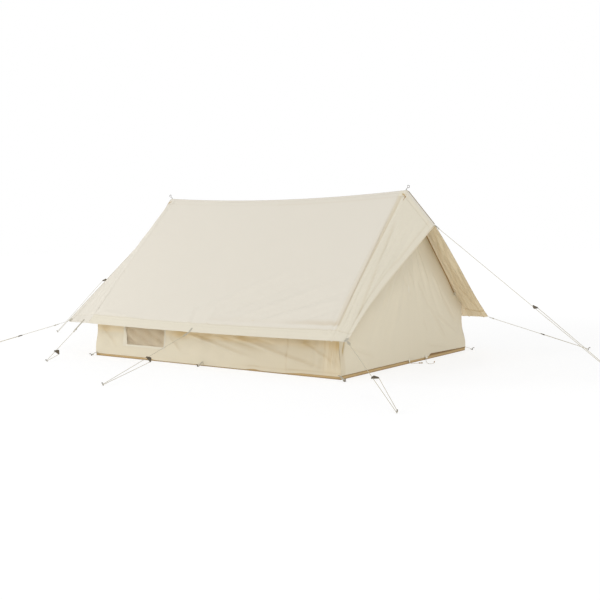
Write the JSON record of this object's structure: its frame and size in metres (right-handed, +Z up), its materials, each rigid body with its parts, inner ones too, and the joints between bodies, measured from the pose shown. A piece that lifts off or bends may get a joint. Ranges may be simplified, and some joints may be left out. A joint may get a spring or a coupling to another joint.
{
  "type": "ridge tent",
  "caption": "Pitched cotton ridge tent on two upright poles, with hooded two-leaf doors at both ends, side windows, a tray groundsheet, guy lines and runners.",
  "frame": {"origin": "on the ground under the middle of the ridge, at the underside of the groundsheet", "axes": "+X along the ridge towards the pictured door, +Y towards the side away from the camera, +Z up"},
  "size_m": [6.7351, 3.909, 1.53],
  "materials": {
    "canvas_roof": "matte woven cotton canvas",
    "canvas_warm": "matte woven cotton canvas, slightly warmer",
    "groundsheet": "coated woven sheet, faint sheen",
    "window_net": "fine insect net",
    "webbing": "ribbed webbing",
    "cord": "braided cord",
    "peg_steel": "dull galvanised wire",
    "runner_alloy": "dull grey-brown",
    "foot_rubber": "matte",
    "pole_alloy": "satin tube",
    "zip_steel": "satin",
    "toggle_wood": "smooth turned wood"
  },
  "bodies": {
    "tent": {"front_gable_far": "canvas_warm", "front_gable_near": "canvas_warm", "front_hood_far": "canvas_warm", "front_hood_near": "canvas_warm", "front_pole_foot": "foot_rubber", "front_pole_lower": "pole_alloy", "front_pole_upper": "pole_alloy", "ground_peg_far_front": "peg_steel", "ground_peg_far_middle": "peg_steel", "ground_peg_far_rear": "peg_steel", "ground_peg_near_front": "peg_steel", "ground_peg_near_middle": "peg_steel", "ground_peg_near_rear": "peg_steel", "groundsheet": "groundsheet", "guy_line_far_front": "cord", "guy_line_front_ridge": "cord", "guy_line_near_front": "cord", "guy_line_near_middle": "cord", "guy_line_near_rear": "cord", "guy_line_near_second": "cord", "guy_line_rear_ridge": "cord", "guy_peg_far_front": "peg_steel", "guy_peg_front_ridge": "peg_steel", "guy_peg_near_front": "peg_steel", "guy_peg_near_middle": "peg_steel", "guy_peg_near_rear": "peg_steel", "guy_peg_near_second": "peg_steel", "guy_peg_rear_ridge": "peg_steel", "rear_gable_far": "canvas_warm", "rear_gable_near": "canvas_warm", "rear_hood_far": "canvas_warm", "rear_hood_near": "canvas_warm", "rear_pole_foot": "foot_rubber", "rear_pole_lower": "pole_alloy", "rear_pole_upper": "pole_alloy", "ridge_tape": "webbing", "roof_panel_far": "canvas_roof", "roof_panel_near": "canvas_roof", "side_wall_far": "canvas_warm", "side_wall_near": "canvas_warm", "window_net_far": "window_net", "window_net_near": "window_net"},
    "front_door_near": {"front_door_near": "canvas_warm", "door_tie_near": "toggle_wood"},
    "front_door_far": {"front_door_far": "canvas_warm", "door_tie_far": "toggle_wood"},
    "front_zip_slider": {"front_zip_slider": "zip_steel"},
    "rear_door_near": {"rear_door_near": "canvas_warm"},
    "rear_door_far": {"rear_door_far": "canvas_warm"},
    "rear_zip_slider": {"rear_zip_slider": "zip_steel"},
    "window_flap_near": {"window_flap_near": "canvas_warm"},
    "window_flap_far": {"window_flap_far": "canvas_warm"},
    "runner_near_front": {"runner_near_front": "runner_alloy"},
    "runner_near_middle": {"runner_near_middle": "runner_alloy"},
    "runner_near_second": {"runner_near_second": "runner_alloy"},
    "runner_near_rear": {"runner_near_rear": "runner_alloy"},
    "runner_far_front": {"runner_far_front": "runner_alloy"},
    "runner_front_ridge": {"runner_front_ridge": "runner_alloy"},
    "runner_rear_ridge": {"runner_rear_ridge": "runner_alloy"}
  },
  "joints": [
    {"name": "front_door_near_fold", "type": "hinge", "parent": "tent", "child": "front_door_near", "pos_m": [1.4, -0.0005, 1.25], "axis": [0, -0.6142, -0.7892], "range_deg": [0, 95], "deforming": ["door_tie_near"]},
    {"name": "front_door_far_fold", "type": "hinge", "parent": "tent", "child": "front_door_far", "pos_m": [1.4, 0.0005, 1.25], "axis": [0, -0.6155, 0.7882], "range_deg": [0, 95], "deforming": ["door_tie_far"]},
    {"name": "front_zip_slider_slide", "type": "slide", "parent": "front_door_near", "child": "front_zip_slider", "axis": [0, 0, 1], "range_m": [0, 1.06]},
    {"name": "rear_door_near_fold", "type": "hinge", "parent": "tent", "child": "rear_door_near", "pos_m": [-1.4, -0.0005, 1.25], "axis": [0, 0.6142, 0.7892], "range_deg": [0, 95]},
    {"name": "rear_door_far_fold", "type": "hinge", "parent": "tent", "child": "rear_door_far", "pos_m": [-1.4, 0.0005, 1.25], "axis": [0, 0.6155, -0.7882], "range_deg": [0, 95]},
    {"name": "rear_zip_slider_slide", "type": "slide", "parent": "rear_door_near", "child": "rear_zip_slider", "axis": [0, 0, 1], "range_m": [0, 1.06]},
    {"name": "window_flap_near_lift", "type": "hinge", "parent": "tent", "child": "window_flap_near", "pos_m": [-0.765, -1.0274, 0.382], "axis": [1, 0, 0], "range_deg": [0, 110]},
    {"name": "window_flap_far_lift", "type": "hinge", "parent": "tent", "child": "window_flap_far", "pos_m": [-0.765, 1.0274, 0.382], "axis": [-1, 0, 0], "range_deg": [0, 110]},
    {"name": "runner_near_front_slide", "type": "slide", "parent": "tent", "child": "runner_near_front", "axis": [-0.724, 0.6445, 0.2457], "range_m": [-0.486, 0.597], "deforming": ["guy_line_near_front"]},
    {"name": "runner_near_middle_slide", "type": "slide", "parent": "tent", "child": "runner_near_middle", "axis": [-0.0895, 0.9622, 0.2572], "range_m": [-0.48, 0.452], "deforming": ["guy_line_near_middle"]},
    {"name": "runner_near_second_slide", "type": "slide", "parent": "tent", "child": "runner_near_second", "axis": [-0.0271, 0.8197, 0.5721], "range_m": [-0.062, 0.241], "deforming": ["guy_line_near_second"]},
    {"name": "runner_near_rear_slide", "type": "slide", "parent": "tent", "child": "runner_near_rear", "axis": [0.6755, 0.6881, 0.2648], "range_m": [-0.623, 0.304], "deforming": ["guy_line_near_rear"]},
    {"name": "runner_far_front_slide", "type": "slide", "parent": "tent", "child": "runner_far_front", "axis": [-0.8112, -0.4935, 0.3137], "range_m": [-0.367, 0.456], "deforming": ["guy_line_far_front"]},
    {"name": "runner_front_ridge_slide", "type": "slide", "parent": "tent", "child": "runner_front_ridge", "axis": [-0.8177, 0.0995, 0.567], "range_m": [-0.866, 1.054], "deforming": ["guy_line_front_ridge"]},
    {"name": "runner_rear_ridge_slide", "type": "slide", "parent": "tent", "child": "runner_rear_ridge", "axis": [0.8209, -0.0454, 0.5692], "range_m": [-1.021, 0.891], "deforming": ["guy_line_rear_ridge"]}
  ]
}
